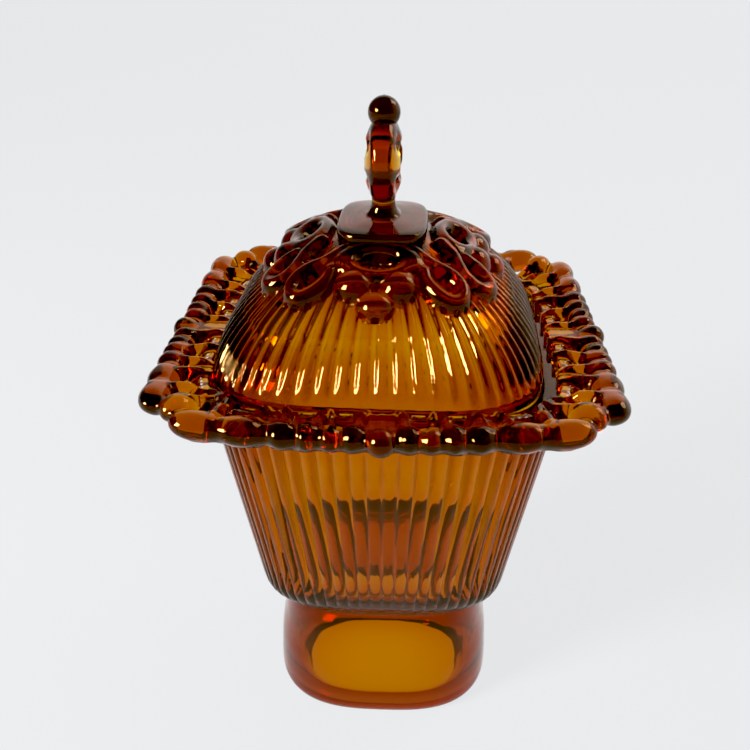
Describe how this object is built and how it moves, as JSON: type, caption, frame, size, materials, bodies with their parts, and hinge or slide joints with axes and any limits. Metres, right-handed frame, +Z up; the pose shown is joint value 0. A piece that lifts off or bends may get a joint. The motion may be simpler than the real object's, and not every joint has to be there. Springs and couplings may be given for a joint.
{
  "type": "square footed powder jar",
  "caption": "Amber pressed-glass square jar with an openwork lace rim, fluted bowl, hollow foot and a lift-off domed lid with a pierced finial.",
  "frame": {"origin": "centre of the foot's resting face", "axes": "+Z up along the jar's vertical axis; -Y is the front, the finial's broad sides face +X and -X"},
  "size_m": [0.165, 0.165, 0.2448],
  "materials": {
    "amber_glass": "fire-polished clear amber pressed glass"
  },
  "bodies": {
    "jar": {"foot": "amber_glass", "bowl": "amber_glass", "lace_rim": "amber_glass"},
    "lid": {"lid_rim": "amber_glass", "lid_shoulder": "amber_glass", "lid_crown": "amber_glass", "finial_collar": "amber_glass", "finial_medallion": "amber_glass", "finial_ball": "amber_glass"}
  },
  "joints": [
    {"name": "lid_lift", "type": "slide", "parent": "jar", "child": "lid", "axis": [0, 0, 1], "range_m": [0, 0.1]}
  ]
}
